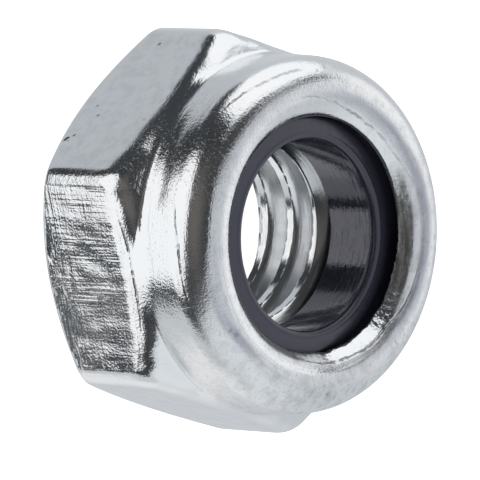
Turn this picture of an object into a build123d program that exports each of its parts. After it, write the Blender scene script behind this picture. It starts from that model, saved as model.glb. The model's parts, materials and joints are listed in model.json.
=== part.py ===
from build123d import *
from math import cos, hypot, radians, sqrt, tan
import os

# Nylon insert lock nut with a metric thread, low type. Sizes are in millimetres and angles in degrees.
# The origin is the middle of the bearing face. +Z runs along the thread, towards the rolled collar, and two
# opposite corners of the hexagon lie on the X axis.

# Thread
thread_diameter = 6.0
thread_pitch = 1.0
countersink_margin = 0.375      # how far the countersink's mouth stands outside the thread's major radius
countersink_angle = 90.0        # included angle
exit_chamfer = 0.34             # 45 degree chamfer where the thread ends at the ring's seat

# Hexagon
across_flats = 10.0
hexagon_height = 3.95           # bearing face to the neck where the collar rises
corner_rounding = 0.7
bearing_setback = 0.4           # from a flat inwards to the edge of the round bearing face
bearing_chamfer_angle = 37.0    # from the bearing face
shoulder_angle = 35.0           # from the bearing face
edge_rounding = 0.18            # where the flats run out into the two chamfers

# Collar
collar_height = 2.05            # neck to the crown of the rolled rim
collar_setback = 0.16           # from a flat inwards to the collar's outside
collar_taper = 0.04             # how much wider the collar is at its neck
collar_wall = 0.79
crown_rounding = 0.95           # outside radius of the rolled rim
crown_turn = 115.5              # how far the rim is rolled, from upright towards the axis and down
rim_land = 0.1                  # short upright edge between the rim's sloping end face and the ring
lip_thickness = 0.5             # steel over the ring's front face
pocket_chamfer = 0.25           # 45 degree inside corner under the rolled rim

# Nylon ring
ring_thickness = 1.96
ring_bite = 0.415               # how far the ring's bore stands inside the thread's major radius
ring_face_showing = 0.615       # width of the ring's front face inside the rolled rim
ring_mouth_rounding = 0.3       # round the bore, on the front face
ring_lead_in = 0.2              # 45 degree chamfer round the bore, where the screw enters from behind
ring_clearance = 0.02           # between the ring's outside and the pocket's wall

# Worked out from those
iso_ridge_height = 5 / 8 * sqrt(3) / 2      # of an internal thread, in pitches
major_radius = thread_diameter / 2
bore_radius = major_radius - iso_ridge_height * thread_pitch
countersink_radius = major_radius + countersink_margin
countersink_depth = (countersink_radius - bore_radius) / tan(radians(countersink_angle / 2))

flat_radius = across_flats / 2
blank_radius = flat_radius / cos(radians(30))      # the hexagon's corners before they are rounded
bearing_radius = flat_radius - bearing_setback
bearing_chamfer_height = (blank_radius - bearing_radius) * tan(radians(bearing_chamfer_angle))

collar_radius = flat_radius - collar_setback
neck_radius = collar_radius + collar_taper
shoulder_drop = (blank_radius - neck_radius) * tan(radians(shoulder_angle))
pocket_radius = collar_radius - collar_wall

nut_height = hexagon_height + collar_height
ring_front = nut_height - lip_thickness
seat_height = ring_front - ring_thickness

ring_radius = pocket_radius - ring_clearance
ring_bore_radius = major_radius - ring_bite
rim_radius = ring_bore_radius + ring_face_showing


def corner(section, radius, height):
    """The corner of a half section at this radius and height."""
    return section.vertices().sort_by_distance((radius, height))[0]


def turned(section):
    """The solid that a half section, with radius along X and height along Y, sweeps about the nut's axis."""
    return revolve(Plane.XZ * section, Axis.Z)


def nut_section():
    """Half section of the steel body as turned from round stock, up to the hexagon's sharp corners."""
    crown_centre = (collar_radius - crown_rounding, nut_height - crown_rounding)
    crown = CenterArc(crown_centre, crown_rounding, 0, crown_turn)
    outside = Polyline(
        (countersink_radius, 0),
        (bearing_radius, 0),
        (blank_radius, bearing_chamfer_height),
        (blank_radius, hexagon_height - shoulder_drop),
        (neck_radius, hexagon_height),
        crown @ 0,
    )
    inside = Polyline(
        crown @ 1,
        (rim_radius, ring_front + rim_land),
        (rim_radius, ring_front),
        (pocket_radius, ring_front),
        (pocket_radius, seat_height),
        (bore_radius + exit_chamfer, seat_height),
        (bore_radius, seat_height - exit_chamfer),
        (bore_radius, countersink_depth),
        (countersink_radius, 0),
    )
    section = make_face(outside + crown + inside)
    return chamfer(corner(section, pocket_radius, ring_front), pocket_chamfer)


def runs_out(edge):
    """Whether this edge is where a flat or a rounded corner of the hexagon runs out into a chamfer."""
    middle = edge @ 0.5
    return edge.geom_type != GeomType.LINE and hypot(middle.X, middle.Y) > (flat_radius + neck_radius) / 2


def nut_body():
    """The steel nut: a rounded hexagon cut to the turned form, with its chamfered edges softened."""
    hexagon = RegularPolygon(flat_radius, 6, major_radius=False)
    hexagon = fillet(hexagon.vertices(), corner_rounding)
    body = turned(nut_section()) & extrude(hexagon, nut_height)
    return fillet(body.edges().filter_by(runs_out), edge_rounding)


def nylon_ring():
    """The locking ring, which sits on its seat and is held down by the rolled rim."""
    section = make_face(Polyline(
        (ring_bore_radius, seat_height),
        (ring_radius, seat_height),
        (ring_radius, ring_front),
        (ring_bore_radius, ring_front),
        close=True,
    ))
    section = chamfer(corner(section, ring_radius, ring_front), pocket_chamfer)
    section = chamfer(corner(section, ring_bore_radius, seat_height), ring_lead_in)
    section = fillet(corner(section, ring_bore_radius, ring_front), ring_mouth_rounding)
    return turned(section)


os.makedirs("parts", exist_ok=True)
export_step(nut_body(), "parts/nut_body.step")
export_step(nylon_ring(), "parts/nylon_ring.step")
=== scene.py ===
# %% [markdown]
# # Dressing a nylon insert lock nut
# The object is a small metric lock nut: a zinc-plated steel body with a hexagon below and a round collar
# above, and a dark nylon ring that the collar's rim is rolled over. The measured model gives the size and
# place of both pieces. This lesson gives them the thread, the soft edges, the finish and the light that the
# real nut has.

# %% Load the measured model
import json
import math

import bmesh
import bpy
import numpy as np
from mathutils import Matrix, Vector, noise


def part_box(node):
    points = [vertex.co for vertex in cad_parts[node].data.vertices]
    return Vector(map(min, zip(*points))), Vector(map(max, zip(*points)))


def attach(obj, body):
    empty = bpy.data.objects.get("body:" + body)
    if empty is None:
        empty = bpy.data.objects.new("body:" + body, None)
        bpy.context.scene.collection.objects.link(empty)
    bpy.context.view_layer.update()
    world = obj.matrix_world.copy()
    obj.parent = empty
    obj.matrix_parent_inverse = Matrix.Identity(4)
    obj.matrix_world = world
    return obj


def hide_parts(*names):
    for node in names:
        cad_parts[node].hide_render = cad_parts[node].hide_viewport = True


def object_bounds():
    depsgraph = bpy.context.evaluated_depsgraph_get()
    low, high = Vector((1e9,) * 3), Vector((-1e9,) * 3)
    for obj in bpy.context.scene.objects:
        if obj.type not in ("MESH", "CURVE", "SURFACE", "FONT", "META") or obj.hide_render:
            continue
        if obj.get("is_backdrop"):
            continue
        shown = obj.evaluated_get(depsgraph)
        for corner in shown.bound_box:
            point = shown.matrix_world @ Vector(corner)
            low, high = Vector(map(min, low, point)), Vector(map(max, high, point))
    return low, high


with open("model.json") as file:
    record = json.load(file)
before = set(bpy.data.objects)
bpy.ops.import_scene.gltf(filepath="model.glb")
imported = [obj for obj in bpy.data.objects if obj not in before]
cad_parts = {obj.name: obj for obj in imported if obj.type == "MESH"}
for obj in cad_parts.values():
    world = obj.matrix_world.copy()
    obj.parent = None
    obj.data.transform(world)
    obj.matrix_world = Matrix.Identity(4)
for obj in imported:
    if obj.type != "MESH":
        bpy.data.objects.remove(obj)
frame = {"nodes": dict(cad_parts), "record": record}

measured_box = [list(corner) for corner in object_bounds()]
print("measured pieces:", sorted(frame["nodes"]))

# %% [markdown]
# ## Sizes
# The height and the width across the flats are read from the measured body's box, and the radii of the
# thread and of the ring's bore from the places where a screw goes in. The rest are the rounded edges and
# slopes that forming left. Blender counts in metres, so each length is written as a number of millimetres.

# %% Sizes of the steel body
mm = 0.001
_, body_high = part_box("nut_body")
ring_low, ring_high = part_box("nylon_ring")
mounts = {mount["name"]: mount for mount in frame["record"]["mounts"]}

flat_radius = body_high[1]
nut_height = body_high[2]
minor_radius = mounts["thread"]["dims"]["r_mm"] * mm
pitch = 1.0 * mm
major_radius = 3.0 * mm
countersink_radius = 3.375 * mm
exit_radius = minor_radius + 0.34 * mm

corner_rounding = 0.7 * mm
bearing_radius = flat_radius - 0.4 * mm
bearing_slope = math.tan(math.radians(37))
neck_height = 3.95 * mm
shoulder_slope = math.tan(math.radians(26))

collar_radius = flat_radius - 0.16 * mm
neck_radius = collar_radius + 0.04 * mm
crown_rounding = 0.95 * mm
crown_turn = math.radians(115.5)
rim_radius = 3.2 * mm
rim_land = 0.1 * mm

seat_height = ring_low[2]
ring_front = ring_high[2]
pocket_radius = collar_radius - 0.79 * mm
pocket_chamfer = 0.25 * mm
print("across the flats:", 2 * flat_radius / mm, "mm, height:", nut_height / mm, "mm")

# %% [markdown]
# ## Lines and bends
# Every edge of a formed and plated nut is a little round, and those roundings catch the light. A section
# drawn with radius across and height up is a list of corners, and each corner is replaced by a short bend.
# Because each section gets the same number of points, sections taken all round the nut join into one even
# net of quads.

# %% Draw straight runs and bends
def straight(start, end, steps):
    """Points from start towards end, without the end itself."""
    return [np.array(start) + (np.array(end) - start) * step / steps for step in range(steps)]


def bend(start, corner, end, steps):
    """Points on a smooth curve that leaves start towards the corner and arrives at end from it."""
    start, corner, end = np.array(start), np.array(corner), np.array(end)
    points = []
    for step in range(steps):
        t = step / steps
        points.append((1 - t) ** 2 * start + 2 * t * (1 - t) * corner + t * t * end)
    return points


def towards(start, end, distance, furthest=0.48):
    """The point that far from start on the way to end, but never past the furthest share of the way."""
    way = np.array(end) - start
    return np.array(start) + way * min(distance / np.linalg.norm(way), furthest)


def soft_outline(corners):
    """An open outline through corners: (radius, height, rounding, bend steps, straight steps after)."""
    points = []
    places = [np.array(corner[:2]) for corner in corners]
    for index, (_, _, rounding, bend_steps, straight_steps) in enumerate(corners[:-1]):
        here, ahead = places[index], places[index + 1]
        if index == 0:
            leaves = here
        else:
            leaves = towards(here, ahead, rounding)
            points += bend(towards(here, places[index - 1], rounding), here, leaves, bend_steps)
        last = index + 2 == len(corners)
        arrives = ahead if last else towards(ahead, here, corners[index + 1][2])
        points += straight(leaves, arrives, straight_steps)
    return points


rounded_step = soft_outline([(0, 0, 0, 1, 1), (1, 0, 0.2, 4, 1), (1, 1, 0, 1, 1)])
print("one rounded right angle takes", len(rounded_step), "points")

# %% [markdown]
# ## Round the hexagon
# The body is not a lathe shape, because the hexagon's distance from the axis changes all the way round. So
# the net is drawn at stations that walk round the rounded hexagon, evenly along each flat and in small
# steps round each corner, and every section is drawn for its own station.

# %% Walk round the hexagon
def hexagon_stations(flat_steps, corner_steps):
    """(angle, radius) of points round the hexagon, whose corners are rounded."""
    inner = flat_radius - corner_rounding
    half_flat = inner * math.tan(math.radians(30))
    walked = []
    for side in range(6):
        facing = math.radians(30 + 60 * side)
        outward = np.array([math.cos(facing), math.sin(facing)])
        along = np.array([-outward[1], outward[0]])
        for step in range(flat_steps):
            walked.append(outward * flat_radius + along * half_flat * (2 * step / flat_steps - 1))
        centre = outward * inner + along * half_flat
        for step in range(corner_steps):
            turned = facing + math.radians(60) * step / corner_steps
            walked.append(centre + corner_rounding * np.array([math.cos(turned), math.sin(turned)]))
    return [(math.atan2(place[1], place[0]), np.linalg.norm(place)) for place in walked]


stations = hexagon_stations(flat_steps=42, corner_steps=12)
print("stations round the hexagon:", len(stations))

# %% [markdown]
# ## The thread
# The real hole is tapped, so a ridge winds up it by one pitch a turn. A bolt shape cut out with a boolean
# would leave a ragged net. Here the hole's wall is only pushed in and out instead: at each point the
# ridge's height depends on how far up the pitch it lies, and the angle round the axis shifts that, which
# makes the helix.

# %% Shape the thread
# the first three are shares of the pitch, the last says how far each flank is eased
thread_phase = 0.0643
crest_half_width = 0.125
flank_width = 0.3125
flank_ease = 0.4


def thread_radius(angle, height):
    """Radius of the tapped hole at this angle and height."""
    share = (height / pitch - angle / math.tau + thread_phase) % 1.0
    from_crest = min(share, 1 - share)
    flank = min(max((from_crest - crest_half_width) / flank_width, 0.0), 1.0)
    eased = (1 - flank_ease) * flank + flank_ease * flank * flank * (3 - 2 * flank)
    return minor_radius + (major_radius - minor_radius) * eased


def hole_points(angle, steps):
    """The hole from the ring's seat down through the thread and out of the countersink."""
    points = []
    for step in range(steps):
        height = seat_height * (1 - step / steps)
        exit_cone = exit_radius - (seat_height - height)
        countersink = countersink_radius - height
        points.append(np.array([max(thread_radius(angle, height), exit_cone, countersink), height]))
    return points


print("ridge height:", round((major_radius - minor_radius) / mm, 3), "mm")

# %% [markdown]
# ## One section of the steel body
# The section starts at the countersink's mouth and runs round the outside: bearing face, chamfer, flat,
# shoulder, neck, collar and the rolled crown. It then dips over the rim's end face, runs under the rim and
# down the pocket that holds the nylon, crosses the seat and goes back down the threaded hole, so it closes
# on itself.

# %% Draw the section
crown_centre = np.array([collar_radius - crown_rounding, nut_height - crown_rounding])
wall_start = neck_height + 0.3 * mm
shoulder_bend = 0.68 * mm
long_bend_arc = (240, 245, 258, 268)
narrow_cone, wide_cone = 0.12 * mm, 0.55 * mm
neck_rounding = 0.12 * mm
lip_drop, lip_thinning = 0.22 * mm, 0.27 * mm
lip_edge_radius = rim_radius + 0.15 * mm
least_torn = 0.15

sides = {
    # the way a feature of the collar faces, in degrees, and the cosines from there at which it is 0 and 1
    "thin lip": (85, -0.2, 0.4), "ridge": (300, 0.7, 0.9), "torn": (20, 0.3, 0.8),
    "crisp edge": (50, -0.3, 0.5), "broad land": (155, 0.3, 0.8), "grimy": (69, 0.78, 0.93),
    "polished": (14, 0.86, 0.95),
}
dents = [
    # what rolling left in the collar's wall: arc in degrees, then height, spread and depth in millimetres
    ((205, 226, 240, 250), 4.42, 0.17, 0.032),
    ((244, 254, 268, 276), 5.15, 0.05, 0.013),
]


def smooth(value, start, end):
    """Goes smoothly from 0 to 1 while the value goes from start to end."""
    share = min(max((value - start) / (end - start), 0.0), 1.0)
    return share * share * (3 - 2 * share)


def unevenness(angle, height, per_turn, seed, per_mm=4):
    """Smooth noise from -1 to 1 that closes on itself round the nut."""
    reach = per_turn / math.tau
    x, y = reach * math.cos(angle) + seed, reach * math.sin(angle)
    return noise.noise(Vector((x, y, height / mm * per_mm)))


def at_side(angle, feature):
    """1 at the side of the nut where a feature lies, and 0 away from it."""
    degrees, start, end = sides[feature]
    return smooth(math.cos(angle - math.radians(degrees)), start, end)


def on_arc(angle, rise_start, rise_end, fall_start, fall_end):
    """1 along an arc of the nut: it rises between the first two angles and falls between the last two."""
    degrees = math.degrees(angle) % 360
    return smooth(degrees, rise_start, rise_end) * (1 - smooth(degrees, fall_start, fall_end))


def dent(angle, height):
    """How far the collar is pressed in at this place."""
    depth = 0.0
    for arc, level, spread, deepest in dents:
        depth += deepest * on_arc(angle, *arc) * math.exp(-0.5 * ((height / mm - level) / spread) ** 2)
    return depth * mm


def lip_underside(angle):
    """Height of the underside of the rolled lip, which was squeezed thinner at one side."""
    return ring_front + lip_thinning * at_side(angle, "thin lip") - lip_drop


crease_places = [
    # degrees round the nut, the crease's radius and depth in millimetres, and the share of a wrinkle in it
    (-15, 3.42, 0.030, 0.6), (0, 3.47, 0.045, 1), (17, 3.54, 0.045, 1), (30, 3.53, 0.045, 0.9),
    (51, 3.68, 0.050, 0.3), (65, 3.72, 0.050, 0.15), (83, 3.72, 0.055, 0.15), (94, 3.70, 0.055, 0.15),
    (104, 3.58, 0.050, 0.3), (115, 3.49, 0.045, 0.4), (126, 3.46, 0.040, 0.5), (137, 3.44, 0.035, 0.7),
    (152, 3.50, 0.030, 0.8), (162, 3.61, 0.025, 0.7), (169, 3.72, 0.020, 0.5), (180, 3.82, 0.012, 0.2),
    (195, 3.9, 0, 0), (330, 3.42, 0, 0),
]
crease_degrees, crease_radii, crease_depths, _ = zip(*crease_places)
# in millimetres, then the crown's turn in radians past which crease and ridge shape it
crease_width = 0.13
ridge_radius, ridge_width, ridge_height = 4.05, 0.08, 0.014
top_turn = 1.0


def pressed(point, angle):
    """Presses a point of the crown down into its crease, and raises a low ridge at the opposite side."""
    degrees = math.degrees(angle)
    radius = point[0] / mm
    crease_radius = np.interp(degrees, crease_degrees, crease_radii, period=360)
    crease_depth = np.interp(degrees, crease_degrees, crease_depths, period=360)
    down = crease_depth * math.exp(-((radius - crease_radius) / crease_width) ** 2)
    ridge = at_side(angle, "ridge") * math.exp(-((radius - ridge_radius) / ridge_width) ** 2)
    return point + np.array([0, (ridge_height * ridge - down) * mm])


def crown_point(turn, angle=None):
    """A point on the rolled crown: turn is 0 where the wall is upright and a right angle at the top."""
    point = crown_centre + crown_rounding * np.array([math.cos(turn), math.sin(turn)])
    if angle is None:
        return point
    point[0] -= dent(angle, point[1]) * math.cos(turn)
    return pressed(point, angle) if turn > top_turn else point


def wall_point(height, angle):
    """A point on the collar's wall."""
    share = (height - neck_height) / (crown_centre[1] - neck_height)
    return np.array([neck_radius + (collar_radius - neck_radius) * share - dent(angle, height), height])


def shoulder(radius, angle):
    """From the flat over the shoulder and into the collar. Where the cone is narrow, it is one soft slope."""
    high = neck_height - (radius - neck_radius) * shoulder_slope
    start, corner = np.array([radius, high - shoulder_bend]), np.array([radius, high])
    neck, end = wall_point(neck_height, angle), wall_point(wall_start, angle)
    cone = np.linalg.norm(neck - corner)
    longer = on_arc(angle, *long_bend_arc)
    bend_reach, furthest = (0.5 + 0.25 * longer) * mm, 0.75 + 0.17 * longer
    down = corner + (neck - corner) * min(bend_reach / cone, furthest)
    inwards = neck + (corner - neck) * min(neck_rounding / cone, 0.2)
    upwards = wall_point(neck_height + neck_rounding, angle)
    cut = bend(start, corner, down, 16) + straight(down, inwards, 5) + bend(inwards, neck, upwards, 5)
    cut += straight(upwards, end, 3)
    share = smooth(cone, narrow_cone, wide_cone)
    formed = []
    for index, point in enumerate(cut):
        t = index / len(cut)
        soft = np.array([radius + (end[0] - radius) * smooth(t, 0, 1), start[1] + (end[1] - start[1]) * t])
        formed.append(share * point + (1 - share) * soft)
    return start, formed


def torn_here(angle):
    """How much rolling tore the rim's edge at this angle: most at one side."""
    return least_torn + (1 - least_torn) * at_side(angle, "torn")


def worn_rim(points, angle):
    """Makes the rolled edge ragged. Its points run from the crown to the ring."""
    worn = []
    for index, point in enumerate(points):
        along = (index + 1) / len(points)
        share = smooth(along, 0, 0.6) * smooth(along, 1, 0.9) * torn_here(angle)
        coarse = unevenness(angle, point[1], per_turn=95, seed=3.0)
        rough = coarse + 0.7 * unevenness(angle, point[1], per_turn=230, seed=8.0)
        wave = unevenness(angle, 0, per_turn=30, seed=21.0)
        worn.append(point + share * np.array([0.035 * rough + 0.05 * wave, 0.03 * rough]) * mm)
    return worn


def steel_section(angle, radius):
    """The closed section of the steel body at one station."""
    low = (radius - bearing_radius) * bearing_slope
    lip = lip_underside(angle)
    flat_end, shoulder_points = shoulder(radius, angle)
    points = soft_outline([
        (countersink_radius, 0, 0, 1, 4),
        (bearing_radius, 0, 0.12 * mm, 4, 4),
        (radius, low, 0.13 * mm, 6, 8),
        (*flat_end, 0, 1, 1),
    ])
    wall_steps, crown_steps, inner_turn = 12, 40, math.radians(100)
    rise = crown_centre[1] - wall_start
    points += shoulder_points
    points += [wall_point(wall_start + rise * step / wall_steps, angle) for step in range(wall_steps)]
    points += [crown_point(inner_turn * step / crown_steps, angle) for step in range(crown_steps)]
    crisp = at_side(angle, "crisp edge")
    land = rim_land + 0.09 * mm * at_side(angle, "broad land")
    points += worn_rim(soft_outline([
        (*crown_point(inner_turn, angle), 0, 1, 3),
        (*crown_point(crown_turn, angle), (0.24 - 0.14 * crisp) * mm, 5, 6),
        (rim_radius, ring_front + land, (0.2 - 0.16 * crisp) * mm, 4, 3),
        (rim_radius, lip, 0.02 * mm, 2, 2),
        (lip_edge_radius, lip, 0, 1, 1),
    ]), angle)
    points += soft_outline([
        (lip_edge_radius, lip, 0, 1, 2),
        (pocket_radius - pocket_chamfer, lip, 0.02 * mm, 1, 2),
        (pocket_radius, lip - pocket_chamfer, 0.02 * mm, 1, 4),
        (pocket_radius, seat_height, 0.02 * mm, 1, 3),
        (exit_radius, seat_height, 0, 1, 1),
    ])
    return points + hole_points(angle, steps=140)


print("points in a section:", len(steel_section(0.0, flat_radius)))

# %% [markdown]
# ## From sections to a mesh
# Joining point number n of each section to the same point of the next gives a net of quads that closes both
# ways, like the skin of a ring. It needs no caps and has no stray faces. Edges that stay sharp on the real
# nut are marked, and all other faces are shaded smooth.

# %% Join sections into a piece
def new_piece(name, places, faces):
    """A piece made of these places and faces."""
    mesh = bpy.data.meshes.new(name)
    mesh.from_pydata(places, [], faces)
    piece = bpy.data.objects.new(name, mesh)
    bpy.context.scene.collection.objects.link(piece)
    return piece


def ring_net(name, angles, sections):
    """A closed mesh from sections of (radius, height) points, one at each angle."""
    count, size = len(sections), len(sections[0])
    places = []
    for angle, section in zip(angles, sections):
        places += [(r * math.cos(angle), r * math.sin(angle), z) for r, z in section]
    faces = []
    for i in range(count):
        k = (i + 1) % count
        for j in range(size):
            m = (j + 1) % size
            faces.append((i * size + j, k * size + j, k * size + m, i * size + m))
    return new_piece(name, places, faces)


def shade_soft(piece, sharp_angle):
    """Shades the piece smooth but for edges that turn by more than this angle, and faces it outwards."""
    net = bmesh.new()
    net.from_mesh(piece.data)
    bmesh.ops.recalc_face_normals(net, faces=net.faces)
    for face in net.faces:
        face.smooth = True
    for edge in net.edges:
        edge.smooth = edge.calc_face_angle(0) < math.radians(sharp_angle)
    net.to_mesh(piece.data)
    net.free()


angles = [angle for angle, _ in stations]
steel = ring_net("steel_body", angles, [steel_section(*station) for station in stations])
shade_soft(steel, sharp_angle=38)
print("steel body faces:", len(steel.data.polygons))

# %% [markdown]
# ## The nylon ring
# The ring is a plain moulding: a short tube whose front face lies against the rolled rim. Only its front
# face and its bore can be seen, and the rounding between them is what makes it look like plastic. It is
# round, so the same net serves it with evenly spaced stations.

# %% Make the ring
ring_radius = ring_high[0]
ring_bore_radius = mounts["locking_bore"]["dims"]["r_mm"] * mm
ring_stations = 240
ring_low_side = math.radians(76)


def ring_section(angle):
    """The closed section of the nylon ring. Its front was squeezed unevenly and is lowest at one side."""
    facing = math.cos(angle - ring_low_side)
    crest = ring_front - 0.105 * mm - 0.085 * mm * facing
    crest += 0.012 * mm * unevenness(angle, 0, per_turn=18, seed=5.0)
    lowest = (0.5 + 0.5 * facing) ** 3
    edge = crest - (0.03 + 0.08 * lowest) * mm
    hidden = ring_front - 0.32 * mm
    middle = 0.5 * (ring_bore_radius + ring_radius)
    return soft_outline([
        (middle, seat_height, 0, 1, 4),
        (ring_radius, seat_height, 0.05 * mm, 2, 6),
        (ring_radius, hidden - pocket_chamfer, 0.04 * mm, 2, 2),
        (ring_radius - pocket_chamfer, hidden, 0.04 * mm, 2, 6),
        (rim_radius + 0.12 * mm, hidden, 0.06 * mm, 4, 1),
        (rim_radius - 0.03 * mm, edge, 0.06 * mm, 4, 6),
        (ring_bore_radius + (0.20 + 0.07 * lowest) * mm, crest - 0.03 * lowest * mm, 0.03 * mm, 4, 1),
        (ring_bore_radius + (0.13 + 0.06 * lowest) * mm, crest + 0.018 * mm, 0.03 * mm, 5, 1),
        (ring_bore_radius, crest - 0.03 * mm, 0.20 * mm, 12, 26),
        (ring_bore_radius, seat_height + 0.04 * mm, 0.02 * mm, 3, 3),
        (ring_bore_radius + 0.04 * mm, seat_height, 0.02 * mm, 2, 4),
        (middle, seat_height, 0, 1, 1),
    ])


ring_angles = [math.tau * step / ring_stations for step in range(ring_stations)]
ring = ring_net("nylon_ring_moulding", ring_angles, [ring_section(angle) for angle in ring_angles])
shade_soft(ring, sharp_angle=50)
print("nylon ring faces:", len(ring.data.polygons))

# %% [markdown]
# ## In the place of the measured solids
# Each finished piece stands for one solid of the measured model, which is hidden, and moves with the same
# body. The nut has no joint, so both pieces ride on its one body.

# %% Let the pieces stand for the measured solids
for piece, node, slot in ((steel, "nut_body", "zinc_plated_steel"), (ring, "nylon_ring", "dark_nylon")):
    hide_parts(node)
    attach(piece, "root")
    print(piece.name, "stands for", node, "with the finish", slot)

# %% [markdown]
# ## How a finish is made
# A finish is a small recipe of nodes. Places on the piece come from its own coordinates, turned into
# millimetres so that every scale below is a real size. Heights of bumps are in millimetres too, because the
# Bump node's distance is set to one millimetre. A few short helpers keep each recipe down to a line or two.

# %% Nodes and numbers in a recipe
def fill(tree, node, values):
    """Gives a node's inputs their values: numbers, places, colours or other nodes' outputs."""
    for name, value in values.items():
        socket = node.inputs[name]
        if isinstance(value, bpy.types.NodeSocket):
            tree.links.new(value, socket)
        else:
            socket.default_value = (*value, 1) if socket.type == "RGBA" else value


def add_node(tree, kind, values, **settings):
    """Adds a node of this kind, makes its settings and fills its inputs."""
    node = tree.nodes.new("ShaderNode" + kind)
    for setting, value in settings.items():
        setattr(node, setting, value)
    fill(tree, node, values)
    return node


def calculate(tree, operation, *values):
    """The result of a Math node."""
    return add_node(tree, "Math", dict(enumerate(values)), operation=operation).outputs[0]


def times(tree, first, *others):
    """The product of all the values."""
    for value in others:
        first = calculate(tree, "MULTIPLY", first, value)
    return first


def add_up(tree, *amounts):
    """The sum of (value, factor) pairs."""
    total = None
    for value, factor in amounts:
        amount = times(tree, value, factor)
        total = amount if total is None else calculate(tree, "ADD", total, amount)
    return total


def turned_down(tree, share, amount=1.0):
    """1 less this much of a share."""
    return calculate(tree, "SUBTRACT", 1.0, times(tree, share, amount))


def ease(tree, value, start, end, low=0.0, high=1.0):
    """Goes smoothly from low to high while the value goes from start to end."""
    values = {"Value": value, "From Min": start, "From Max": end, "To Min": low, "To Max": high}
    return add_node(tree, "MapRange", values, interpolation_type="SMOOTHSTEP").outputs["Result"]


print("a recipe can now add nodes, calculate and ease")

# %% Places, grain and colours in a recipe
def places(tree, stretch=(1, 1, 1)):
    """The point being shaded, in millimetres, each axis multiplied by its own number."""
    point = add_node(tree, "TexCoord", {}).outputs["Object"]
    scale = tuple(number / mm for number in stretch)
    return add_node(tree, "Mapping", {"Vector": point, "Scale": scale}).outputs["Vector"]


def split(tree, where):
    """The three numbers of a place."""
    return add_node(tree, "SeparateXYZ", {0: where}).outputs


def grain(tree, where=None, per_mm=1.0, detail=2.0, roughness=0.5):
    """Even noise from 0 to 1 with this many features per millimetre, over the piece's places or others."""
    where = places(tree) if where is None else where
    values = {"Vector": where, "Scale": per_mm, "Detail": detail, "Roughness": roughness}
    return add_node(tree, "TexNoise", values).outputs["Fac"]


def blend(tree, share, first, second):
    """Mixes two colours."""
    return add_node(tree, "Mix", {0: share, 6: first, 7: second}, data_type="RGBA").outputs[2]


def seen_by_camera(tree):
    """1 where the camera looks straight at a point, and 0 in reflections and for the light on the nut."""
    return add_node(tree, "LightPath", {}).outputs["Is Camera Ray"]


print("one unit of a recipe's places is", mm, "metres")

# %% Start and raise a finish
def start_finish(piece, name):
    """Gives a piece a new material. Returns the material's tree and main shader."""
    material = bpy.data.materials.new(name)
    material.use_nodes = True
    piece.data.materials.append(material)
    return material.node_tree, material.node_tree.nodes["Principled BSDF"]


def bumps(tree, height):
    """The way a surface faces when it is bumped by a height in millimetres."""
    values = {"Strength": 1.0, "Distance": mm, "Height": height}
    return add_node(tree, "Bump", values).outputs["Normal"]


print("a bump of height 1 stands", mm, "metres high")

# %% [markdown]
# ## Where each finish lies
# The nut is plated in a drum with thousands of others, so it is bright but never quite smooth, and each
# part of it has been through something else. One flat was scored all over, the rolled edge is torn and the
# crown is rubbed dull. Some shares also carry painted shade: in the thread, at its end next to the ring,
# and in the crown's crease. A painted map could say where each finish lies, but it would need an image.
# Here a rule looks at a point's radius, angle and height instead and gives a share from 0 to 1. The shares
# are stored on the mesh, so each finish keeps its place on the metal when the nut is turned.

# %% Rules for the hexagon and the hole
blur = 0.03 * mm


def scored_rule(radius, angle, height):
    """The flat that faces -Y is scored much more than the others."""
    return 1 - (radius * math.sin(angle) + flat_radius) / blur


def satin_rule(radius, angle, height):
    """The six flats keep the smoothness of the drawn bar."""
    facing = angle - (angle % math.radians(60)) + math.radians(30)
    return 1 - (flat_radius - radius * math.cos(angle - facing)) / blur


def hole_rule(radius, angle, height):
    """The thread, its countersink and the pocket."""
    return 1.0 if radius < rim_radius else 0.0


def thread_end_shade_rule(radius, angle, height):
    """Painted shade: the end of the thread next to the ring is darkened, in place of its dark reflection of
    the nylon.
    """
    return hole_rule(radius, angle, height) * smooth(height, seat_height - 0.5 * mm, seat_height - 0.25 * mm)


print("the scored flat faces -Y, at", round(-flat_radius / mm, 2), "mm")

# %% [markdown]
# ## The rolled rim and the crown
# Rolling stretches the rim's edge until it tears at one side, and leaves bare, bright steel there. Beside
# the tear, grease and dust were pressed into the sloping end face. The crown has been rubbed: it is dull,
# but for one bright ring that the roll polished. Painted shade, darker and violet, lies in the crown's
# crease and in streaks at the other side. Rings and streaks that wander round the crown are written as a
# few places that they pass through.

# %% Rules for the rolled rim
end_face_radius = crown_point(crown_turn)[0]


def on_end_face(radius, height):
    """How surely a point lies on the rim's sloping end face."""
    inside = (end_face_radius + 0.05 * mm - radius) / (0.09 * mm)
    return min(max(min(inside, (height - ring_front) / (0.05 * mm)), 0), 1)


def torn_rule(radius, angle, height):
    """The rim's torn edge."""
    return torn_here(angle) * on_end_face(radius, height)


def grimy_rule(radius, angle, height):
    """Grease and dust were rolled into the end face at one side."""
    return on_end_face(radius, height) * at_side(angle, "grimy")


def polished_rule(radius, angle, height):
    """The torn edge is freshly bared and bright at one place."""
    inside = smooth(radius, 3.56 * mm, 3.48 * mm) if radius >= rim_radius - 0.1 * mm else 0.0
    return inside * at_side(angle, "polished")


print("the end face reaches out to", round(end_face_radius / mm, 2), "mm from the axis")

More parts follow.
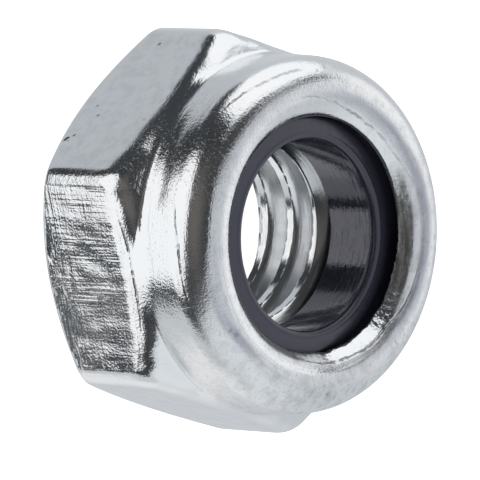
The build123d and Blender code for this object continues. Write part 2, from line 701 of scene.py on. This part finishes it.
# %% Rules for the crown
rubbed_ring = [
    # degrees round the nut, radius in millimetres and share, here and in the next two lists
    (268, 3.86, 0), (281, 3.82, 1), (296, 3.81, 1), (311, 3.80, 1), (330, 3.68, 1), (351, 3.64, 0.8),
    (362, 3.62, 0),
]
# where painted shade lies along the crown's crease, and then in streaks at the other side
shaded_valley = [
    (15, 3.74, 0), (35, 3.80, 0.5), (51, 3.90, 0.9), (80, 3.92, 1), (94, 3.90, 1), (115, 3.74, 1),
    (137, 3.70, 0.9), (152, 3.78, 0.6), (170, 3.95, 0),
]
shaded_streaks = [
    (252, 4.4, 0), (270, 4.36, 0.5), (286, 4.27, 0.9), (294, 4.17, 1), (301, 4.08, 0.9), (312, 4.02, 0),
]


def beside(degrees, value, line):
    """How far a value is from a line of (degrees, value, share), and the share there. None past its ends."""
    start, end = line[0][0], line[-1][0]
    turned = (degrees - start) % 360
    if turned > end - start:
        return None
    along, values, shares = zip(*line)
    return value - np.interp(start + turned, along, values), np.interp(start + turned, along, shares)


def around(radius, angle, line, half_width):
    """How near a point of the crown is to a line, fading over the half width in millimetres."""
    found = beside(math.degrees(angle), radius / mm, line)
    return found[1] * math.exp(-(found[0] / half_width) ** 4) if found else 0.0


def dull_and_shaded_rule(radius, angle, height):
    """Handling dulled the collar, more towards the crown and towards the torn side. Its share also paints
    shade with the dust colour, there and on the thread's flanks.
    """
    # in the thread, the share's dust colour darkens the flanks as painted shade
    if radius < rim_radius:
        return 0.45 * smooth(radius, minor_radius + 0.03 * mm, minor_radius + 0.2 * mm)
    if height < neck_height:
        return 0.0
    towards_torn = math.cos(angle - math.radians(sides["torn"][0]))
    wall = 0.35 * smooth(height, 5.1 * mm, 5.6 * mm) + 0.3 + 0.7 * towards_torn
    top = smooth(height, 5.88 * mm, 5.97 * mm) * (0.75 + 0.25 * towards_torn)
    rubbed = 1 - 0.7 * around(radius, angle, rubbed_ring, 0.10)
    return min(max(wall, top), 1.0) * rubbed * (1 - polished_rule(radius, angle, height))


def crease_shade_rule(radius, angle, height):
    """Painted shade: the crown's crease and streaks at the other side are darkened and tinted violet."""
    if height < nut_height - 0.35 * mm:
        return 0.0
    return around(radius, angle, shaded_valley, 0.19) + around(radius, angle, shaded_streaks, 0.13)


def frosty_rule(radius, angle, height):
    """Fine matt specks lie thickest round one corner and on the crown."""
    corner = on_arc(angle, 208, 224, 238, 250)
    return max(0.15 + 0.85 * corner, 0.7 * smooth(height, 5.8 * mm, 5.95 * mm))


print("the hazy valley runs through", shaded_valley[0][0], "to", shaded_valley[-1][0], "degrees")

# %% [markdown]
# ## Wrinkles finer than the mesh
# Rolling also folds thin wrinkles into the skin of the metal. A share stored at each vertex would blur
# them, since they are thinner than a face is wide. So each vertex stores how far it lies from the nearest
# wrinkle, with a sign for the side. Between two vertices that distance changes evenly, and where it passes
# zero the recipe can draw a line as thin as it likes.

# %% Measure how far each point is from a wrinkle
along_crease = [(degrees, radius, share) for degrees, radius, _, share in crease_places[:-2]]
wrinkles = [
    # part of the steel, then (degrees round the nut, radius or height in millimetres, share of full depth)
    ("crown", [(-24, 3.38, 0), *along_crease, (190, 3.9, 0)]),
    ("collar", [(172, 5.79, 0), (177, 5.75, 0.6), (194, 5.67, 0.7), (207, 5.48, 0.6), (212, 5.40, 0)]),
    ("collar", [(244, 5.10, 0), (251, 5.18, 0.7), (256, 5.29, 0.9), (263, 5.33, 0.9), (269, 5.34, 0.9),
                (274, 5.37, 0.7), (279, 5.4, 0)]),
    ("shoulder", [(247, 3.42, 0), (252, 3.50, 0.6), (257, 3.58, 0.8), (264, 3.63, 0.8), (271, 3.63, 0.8),
                  (279, 3.61, 0.7), (287, 3.55, 0)]),
]


def band_of(radius, height):
    """Which part of the steel's outside a place belongs to."""
    if radius < rim_radius:
        return "hole"
    if height > nut_height - 0.4 * mm and radius < collar_radius - 0.6 * mm:
        return "crown"
    return "collar" if height > neck_height + 0.3 * mm else "shoulder"


def off_wrinkle(radius, angle, height):
    """How far a place is from the nearest wrinkle, in millimetres with a sign, and its share."""
    nearest = (1.0, 0.0)
    for band, line in wrinkles:
        if band == band_of(radius, height):
            found = beside(math.degrees(angle), (radius if band == "crown" else height) / mm, line)
            if found and abs(found[0]) < abs(nearest[0]):
                nearest = found
    return nearest


print("wrinkles:", len(wrinkles))

# %% Store the shares on the steel
def store(piece, name, values):
    """Stores one number at each vertex."""
    piece.data.attributes.new(name, "FLOAT", "POINT").data.foreach_set("value", values)
    print(name, "stored, mean", round(sum(values) / len(values), 3))


def whereabouts(vertex):
    """A vertex's radius, angle and height."""
    x, y, z = vertex.co
    return math.hypot(x, y), math.atan2(y, x), z


def store_share(piece, name, rule):
    """Stores a rule's share at each vertex, from 0 to 1."""
    store(piece, name, [min(max(rule(*whereabouts(vertex)), 0.0), 1.0) for vertex in piece.data.vertices])


finish_rules = {
    "scored": scored_rule, "satin": satin_rule, "torn": torn_rule, "dull_and_shaded": dull_and_shaded_rule, "hole": hole_rule,
    "shaded_thread_end": thread_end_shade_rule, "shade_painted": crease_shade_rule, "frosty": frosty_rule, "grimy": grimy_rule,
}
for name, rule in finish_rules.items():
    store_share(steel, name, rule)

distances = [off_wrinkle(*whereabouts(vertex)) for vertex in steel.data.vertices]
for name, values in zip(("off_wrinkle", "wrinkled"), zip(*distances)):
    store(steel, name, values)

# %% [markdown]
# ## Nicks and stains
# In the drum the nuts knock corners into each other's flats, and here and there a spot stays dark. There
# are only a few, so each is listed with its place, and the recipe measures how far the shaded point is
# from it.

# %% Place the nicks and stains
nicks = [
    # degrees round the nut, then radius, height, size and depth in millimetres
    (227, 5.24, 0.73, 0.13, 0.03), (225.5, 5.18, 0.90, 0.07, 0.02), (213, 5.00, 0.94, 0.06, 0.02),
    (217, 5.04, 1.24, 0.07, 0.02), (218, 5.05, 3.11, 0.06, 0.02), (187, 5.43, 1.56, 0.08, 0.02),
    (349, 4.31, 5.9, 0.09, 0.02), (28, 4.02, 5.99, 0.09, 0.02),
]
stains = [
    # degrees round the nut, then radius, height and size in millimetres, and share
    (349, 4.31, 5.9, 0.22, 0.5), (294, 4.16, 5.97, 0.12, 0.7), (291, 4.24, 5.94, 0.10, 0.5),
    (164, 4.52, 5.75, 0.12, 0.7), (168, 4.44, 5.81, 0.08, 0.6), (103, 3.36, 5.78, 0.06, 0.6),
    (240, 5.25, 3.3, 0.15, 0.4),
]
print("nicks:", len(nicks), "stains:", len(stains))

# %% [markdown]
# ## Bright zinc
# Three things make zinc look plated and used: fine relief, films of colour and uneven gloss. They must
# agree, since a wrinkle is both deep and dark, and grime is both grey and matt. So the marks that they
# share are made first, and the three parts of the recipe read them from there.

# %% Read shares and marks
def stored(tree, name):
    """A number stored on the mesh."""
    return add_node(tree, "Attribute", {}, attribute_name=name).outputs["Fac"]


def round_the_axis(tree, per_mm, per_radian):
    """The point as radius, height and angle, for marks that run round the nut."""
    x, y, z = split(tree, places(tree))
    radius = calculate(tree, "SQRT", add_up(tree, (x, x), (y, y)))
    angle = calculate(tree, "ARCTAN2", y, x)
    scaled = [times(tree, radius, per_mm), times(tree, z, per_mm), times(tree, angle, per_radian)]
    return add_node(tree, "CombineXYZ", dict(enumerate(scaled))).outputs[0]


def spot(tree, degrees, radius, height, size, strength):
    """A soft round spot on the nut: its strength in the middle, and 0 outside its size."""
    angle = math.radians(degrees)
    middle = (radius * math.cos(angle), radius * math.sin(angle), height)
    away = add_node(tree, "VectorMath", {0: places(tree), 1: middle}, operation="DISTANCE").outputs["Value"]
    return ease(tree, away, 0.0, size, strength, 0.0)


def wrinkle_share(tree):
    """Thin broken lines along the wrinkles, which wander a little."""
    wander = calculate(tree, "MULTIPLY_ADD", grain(tree, per_mm=5), 0.08, -0.04)
    off = calculate(tree, "ABSOLUTE", calculate(tree, "ADD", stored(tree, "off_wrinkle"), wander))
    broken = ease(tree, grain(tree, per_mm=3), 0.35, 0.55, 0.25, 1.0)
    return times(tree, ease(tree, off, 0.0, 0.05, 1, 0), stored(tree, "wrinkled"), broken)


def zinc_marks(tree):
    """The stored shares, and the marks that more than one part of the recipe reads."""
    marks = {name: stored(tree, name) for name in finish_rules}
    marks["wrinkle"] = wrinkle_share(tree)
    caught = grain(tree, round_the_axis(tree, 9, 4.5), detail=3, roughness=0.6)
    marks["caught grime"] = ease(tree, caught, 0.36, 0.60)
    marks["patches"] = grain(tree, per_mm=0.5, detail=3)
    marks["mottle"] = grain(tree, per_mm=2.6, detail=4, roughness=0.65)
    return marks


print("shares that the zinc reads:", ", ".join(finish_rules))

# %% [markdown]
# ## The zinc's relief
# Slopes of a few degrees are enough to break up a reflection, so even the highest bumps stand only a few
# hundredths of a millimetre. The scored flat has scratches both ways over a flaky and wavy ground, since it
# was dragged over something, and a calmer strip beside the bearing face. The calm places mirror one dark
# panel, so they look dark. The rest has the grain of the plating, finer on the flats, and faint marks round
# the axis from rolling.

# %% Heights of the zinc's bumps
relief = {
    # each kind of bump's height, in millimetres
    "grain": 0.0042, "speckle": 0.0036, "waves": 0.010, "rolled": 0.003, "torn": 0.014, "grime": 0.02,
    "wrinkle": 0.02, "along": 0.009, "across, low": 0.010, "across": 0.0025, "flakes": 0.0048, "broad": 0.035,
    "worn away": 0.020,
}
# along X in millimetres
worn_edge = -1.0


def scores(tree):
    """Height of the scored flat, which is worn away past an edge at its left."""
    x, _, z = split(tree, places(tree))
    along = grain(tree, places(tree, (11, 11, 0.5)), detail=1)
    across = grain(tree, places(tree, (0.5, 0.5, 11)), detail=1)
    flakes = grain(tree, per_mm=14, detail=1, roughness=0.4)
    broad = grain(tree, places(tree, (1.3, 1.3, 0.7)), detail=1)
    streaky = ease(tree, grain(tree, places(tree, (0.9, 0.9, 0.45))), 0.42, 0.6, 0.25, 1.6)
    across_height = ease(tree, z, 0.6, 1.9, relief["across, low"], relief["across"])
    worn = calculate(tree, "MAXIMUM", calculate(tree, "SUBTRACT", worn_edge, x), 0.0)
    ground = add_up(tree, (times(tree, along, streaky), relief["along"]), (flakes, relief["flakes"]),
                    (broad, relief["broad"]))
    blotches = ease(tree, grain(tree, places(tree, (1.1, 1.1, 2.2))), 0.35, 0.6, 0.2, 1.0)
    calm = times(tree, ease(tree, z, 0.8, 1.35, 1, 0), ease(tree, x, -1.7, -1.0), blotches)
    return add_up(tree, (ground, turned_down(tree, calm, 0.72)), (across, across_height),
                  (times(tree, worn, worn), -relief["worn away"]))


def zinc_relief(tree, marks):
    """Height of the zinc, in millimetres."""
    grit = add_up(tree, (grain(tree, per_mm=9, detail=1), relief["grain"]),
                  (grain(tree, per_mm=21, detail=0.5), relief["speckle"]))
    smoother = calculate(tree, "MAXIMUM", times(tree, marks["satin"], 0.72), times(tree, marks["hole"], 0.7))
    waves = grain(tree, per_mm=1.6, detail=1)
    tearing = grain(tree, per_mm=6)
    rolled = grain(tree, round_the_axis(tree, 22, 1.2), detail=1.5)
    height = add_up(
        tree, (grit, turned_down(tree, smoother)), (waves, relief["waves"]), (scores(tree), marks["scored"]),
        (tearing, times(tree, marks["torn"], relief["torn"])),
        (tearing, times(tree, marks["grimy"], relief["grime"])),
        (rolled, times(tree, turned_down(tree, marks["satin"]), relief["rolled"])),
        (marks["wrinkle"], -relief["wrinkle"]))
    for nick in nicks:
        height = calculate(tree, "SUBTRACT", height, spot(tree, *nick))
    return height


print("highest bump:", max(relief.values()), "mm")

# %% [markdown]
# ## The zinc's colour and gloss
# Clean zinc is a pale, slightly blue grey. On top of it lie thin films: dust where it is dull, pores,
# stains, and dirt in the end face. Painted shade is laid on as films too: at the thread's end next to the
# ring, in the crown's crease, partly in the dust film, and with dirt in the wrinkles. Each film is a share
# and a colour, blended in turn. Dull, dusty and frosted places are rougher too, so they mirror less sharply.

# %% Films on the zinc
clean_zinc = (0.79, 0.81, 0.83)
pale_zinc = (0.82, 0.83, 0.84)
film_colours = {
    "dust": (0.46, 0.465, 0.49), "thread_end_shade": (0.30, 0.32, 0.32), "crease_shade": (0.49, 0.495, 0.55),
    "pores": (0.40, 0.40, 0.41), "stain": (0.16, 0.155, 0.15), "wrinkle": (0.10, 0.10, 0.10),
    "grime": (0.19, 0.185, 0.18),
}


def zinc_colour(tree, marks):
    """The zinc's colour under all its films."""
    # dust where the zinc is dull, and painted shade in the thread and towards the torn side
    dust = add_up(tree, (marks["dull_and_shaded"], 0.42), (marks["satin"], 0.20), (marks["torn"], 0.2))
    uneven = ease(tree, grain(tree, round_the_axis(tree, 5, 2.5)), 0.3, 0.65, 0.55, 1.0)
    pores = ease(tree, grain(tree, per_mm=8, roughness=0.7), 0.56, 0.74)
    blotchy = ease(tree, grain(tree, per_mm=10), 0.35, 0.6, 0.3, 1.0)
    films = [
        ("dust", times(tree, ease(tree, marks["mottle"], 0.42, 0.66), dust)),
        # painted shade at the end of the thread next to the ring
        ("thread_end_shade", times(tree, marks["shaded_thread_end"], 0.5)),
        # painted shade, darker and violet, in the crown's crease and streaks
        ("crease_shade", times(tree, marks["shade_painted"], uneven)),
        ("pores", times(tree, pores, marks["dull_and_shaded"], 0.55)),
        *[("stain", times(tree, spot(tree, *stain), blotchy)) for stain in stains],
        # dirt and painted shade along the wrinkles
        ("wrinkle", times(tree, marks["wrinkle"], 0.75)),
        ("grime", times(tree, marks["caught grime"], marks["grimy"], 0.8)),
    ]
    colour = blend(tree, ease(tree, marks["patches"], 0.35, 0.7), clean_zinc, pale_zinc)
    for film, share in films:
        colour = blend(tree, share, colour, film_colours[film])
    return colour


def zinc_roughness(tree, marks):
    """The zinc's roughness: how much each mark adds to that of the bare plating."""
    bare = ease(tree, marks["patches"], 0.3, 0.7, 0.07, 0.13)
    frost = ease(tree, grain(tree, per_mm=13, roughness=0.6), 0.48, 0.72)
    flats = calculate(tree, "MAXIMUM", marks["satin"], marks["scored"])
    clean = calculate(tree, "MAXIMUM", flats, marks["hole"])
    frost = times(tree, frost, marks["frosty"], turned_down(tree, clean, 0.85))
    grime = times(tree, marks["caught grime"], marks["grimy"])
    return calculate(tree, "ADD", bare, add_up(
        tree, (marks["satin"], 0.04), (marks["dull_and_shaded"], 0.20), (marks["scored"], -0.035),
        (marks["mottle"], 0.05), (frost, 0.24), (grime, 0.12)))


print("films on the zinc:", ", ".join(film_colours))

# %% Mix the bright zinc
tree, shader = start_finish(steel, "bright_zinc")
marks = zinc_marks(tree)
fill(tree, shader, {
    "Metallic": 1.0, "IOR": 1.5, "Normal": bumps(tree, zinc_relief(tree, marks)),
    "Base Color": zinc_colour(tree, marks), "Roughness": zinc_roughness(tree, marks),
})
print("bright zinc:", len(tree.nodes), "nodes")

# %% [markdown]
# ## Dark nylon
# The ring is moulded in black nylon with a blue cast. It isn't deep black in the light, because its satin
# skin reflects the pale tent. A screw that was run in and out has polished its bore and left fine rings
# there.

# %% Mix the dark nylon
# heights of bumps in millimetres
bore_ring_height, skin_height = 0.006, 0.003


def bore_rule(radius, angle, height):
    """The bore of the ring."""
    return 1 - (radius - ring_bore_radius) / (0.06 * mm)


store_share(ring, "bore", bore_rule)
tree, shader = start_finish(ring, "dark_nylon")
bore = stored(tree, "bore")
rings = grain(tree, places(tree, (0.5, 0.5, 14)))
skin = grain(tree, per_mm=7)
height = add_up(tree, (times(tree, rings, bore), bore_ring_height), (skin, skin_height))
skin_roughness = ease(tree, skin, 0.3, 0.7, 0.28, 0.40)
fill(tree, shader, {
    "Metallic": 0.0, "IOR": 1.68, "Specular Tint": (0.88, 0.89, 1.0), "Normal": bumps(tree, height),
    "Base Color": blend(tree, skin, (0.040, 0.040, 0.060), (0.056, 0.056, 0.084)),
    "Roughness": calculate(tree, "SUBTRACT", skin_roughness, times(tree, bore, 0.23)),
    "Specular IOR Level": calculate(tree, "MULTIPLY_ADD", bore, 0.2, 0.5),
})
print("dark nylon:", len(tree.nodes), "nodes")

# %% [markdown]
# ## The floor
# The photograph's ground is plain white. The floor is a matt white sheet whose colour is lifted to white
# for the camera only, which leaves a little of the nut's soft shadow. It is kept out of the metal's
# reflections, because the photographed nut reflects the lower panels of the studio and not a white table.

# %% Lay the floor
floor_reach = 0.2
camera_lift = 0.84
corners = [(floor_reach * x, floor_reach * y, 0) for x, y in ((-1, -1), (1, -1), (1, 1), (-1, 1))]
floor = new_piece("floor", corners, [(0, 1, 2, 3)])
floor.visible_glossy = False
floor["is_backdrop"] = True

tree, shader = start_finish(floor, "lifted_white")
fill(tree, shader, {
    "Metallic": 0.0, "IOR": 1.5, "Base Color": (0.92, 0.92, 0.92), "Roughness": 1.0,
    "Specular IOR Level": 0.0,
})
strength = times(tree, seen_by_camera(tree), camera_lift)
glow = add_node(tree, "Emission", {"Color": (1, 1, 1), "Strength": strength})
both = add_node(tree, "AddShader", {0: shader.outputs[0], 1: glow.outputs[0]})
fill(tree, tree.nodes["Material Output"], {"Surface": both.outputs[0]})
print("floor:", 2 * floor_reach, "metres square")

# %% [markdown]
# ## The camera
# The photograph was taken with a long lens from over one flat, and the picture was then turned so that the
# nut seems to lie on its side. A nut on a floor can't lie so, and the measured model stands on its bearing
# face. So the nut stays where it is, and the camera looks down on it and is rolled by about a right angle.

# %% The camera
aim = Vector((0.177, -0.200, 2.867)) * mm
camera_compass = math.radians(-107.70)
camera_elevation = math.radians(45.823)
camera_roll = math.radians(92.909)
camera_distance = 216.88 * mm

camera_data = bpy.data.cameras.new("camera")
camera_data.lens = 600
camera_data.sensor_width = 36
camera = bpy.data.objects.new("camera", camera_data)
back = Vector((
    math.cos(camera_elevation) * math.cos(camera_compass),
    math.cos(camera_elevation) * math.sin(camera_compass),
    math.sin(camera_elevation),
))
upright = back.to_track_quat("Z", "Y").to_matrix().to_4x4()
rolled_over = Matrix.Rotation(camera_roll, 4, "Z")
camera.matrix_world = Matrix.Translation(aim + back * camera_distance) @ upright @ rolled_over
camera_data.clip_start = 0.01
bpy.context.scene.collection.objects.link(camera)
bpy.context.scene.camera = camera
print("camera:", round(camera_distance / mm), "mm from the nut, looking", tuple(round(n, 2) for n in -back))

# %% [markdown]
# ## The studio
# Bright zinc is nearly a mirror, so what is seen on it is the room. The nut was photographed in a pale tent
# with white panels low on two sides and a dark opening where the camera stands. The world is made the same
# way: a direction gives a compass angle and an elevation, and each panel is a soft-edged rounded patch in
# those two.

# %% Measure directions
world = bpy.data.worlds.new("studio")
world.use_nodes = True
bpy.context.scene.world = world
studio = world.node_tree
x, y, z = split(studio, add_node(studio, "TexCoord", {}).outputs["Generated"])
compass = calculate(studio, "ARCTAN2", y, x)
elevation = calculate(studio, "ARCSINE", z)


def panel_share(azimuth, height, half_width, half_height, power, softness, lean=0.0):
    """How far a direction lies inside a rounded patch, from 0 outside to 1 inside. Angles are in degrees."""
    above = calculate(studio, "SUBTRACT", elevation, math.radians(height))
    middle = calculate(studio, "MULTIPLY_ADD", above, lean, math.radians(azimuth))
    aside = calculate(studio, "WRAP", calculate(studio, "SUBTRACT", compass, middle), math.pi, -math.pi)
    shares = []
    for distance, half_size in ((aside, half_width), (above, half_height)):
        share = calculate(studio, "DIVIDE", calculate(studio, "ABSOLUTE", distance), math.radians(half_size))
        shares.append(calculate(studio, "POWER", share, power))
    reach = calculate(studio, "POWER", calculate(studio, "ADD", *shares), 1 / power)
    return ease(studio, reach, 1 - softness, 1 + softness, 1, 0)


print("studio: compass and elevation measured")

# %% [markdown]
# ## Panels
# A curved mirror shows nearly the whole room at once, so each light and dark shape on the nut is a panel
# somewhere. To place one, take a spot on the nut that shows it, and follow the line of sight as it bounces
# off there. White panels are a little brighter than white and the tent is pale grey, because the zinc
# itself takes a fifth away.

# %% Hang the panels
def grey(brightness):
    """A colour without a cast."""
    return (brightness, brightness, brightness)


room = (0.63, 0.655, 0.68)
panels = [
    # colour, azimuth, height, half width, half height, power of its rounding, softness, and any lean
    (grey(0.92), -25, -32, 42, 34, 3, 0.6),
    (grey(1.05), 86, 22, 26, 21, 3, 0.3),
    ((0.61, 0.63, 0.67), 0, 90, 400, 34, 3, 0.12),
    ((0.82, 0.86, 0.88), -12, 36, 36, 30, 3, 0.45),
    ((0.045, 0.047, 0.05), -119, 22, 62, 80, 10, 0.03),
    ((0.15, 0.14, 0.13), -112, 38, 30, 24, 2, 0.8),
    (grey(0.06), 159, 60, 45, 14, 3, 0.2),
    (grey(0.10), 112, 40, 6, 15, 2, 0.4),
    ((0.555, 0.585, 0.61), 152, -59, 28, 20.5, 8, 0.04),
    ((0.05, 0.055, 0.06), 180, -26, 24, 13, 4, 0.08),
    (grey(1.12), -102, -45, 40, 58, 3, 0.05, -0.3),
    ((0.07, 0.075, 0.08), -125, -60, 52, 9.5, 8, 0.05),
    ((0.045, 0.05, 0.055), -60.5, -28, 7.5, 34, 6, 0.10, 0.35),
    ((0.66, 0.685, 0.70), -40, -28, 14, 40, 6, 0.10, 0.35),
    (grey(1.12), 150, 11, 32, 35, 2.2, 0.10),
]
for colour, *patch in panels:
    room = blend(studio, panel_share(*patch), room, colour)

backdrop = blend(studio, seen_by_camera(studio), room, grey(1.0))
fill(studio, studio.nodes["Background"], {"Color": backdrop})
bpy.context.scene.view_settings.view_transform = "Standard"
print("panels:", len(panels), "in", len(studio.nodes), "nodes")

# %% [markdown]
# ## Print the size
# Dressing the nut must not change its size, since other parts are fitted to the measured model. The box
# round the finished pieces is printed beside the box that was measured at the start.

# %% Print the sizes
final_box = [list(corner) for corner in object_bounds()]
for axis, low, high, was_low, was_high in zip("XYZ", *final_box, *measured_box):
    size, was = (high - low) / mm, (was_high - was_low) / mm
    print(axis, "side:", round(size, 3), "mm, measured:", round(was, 3), "mm")
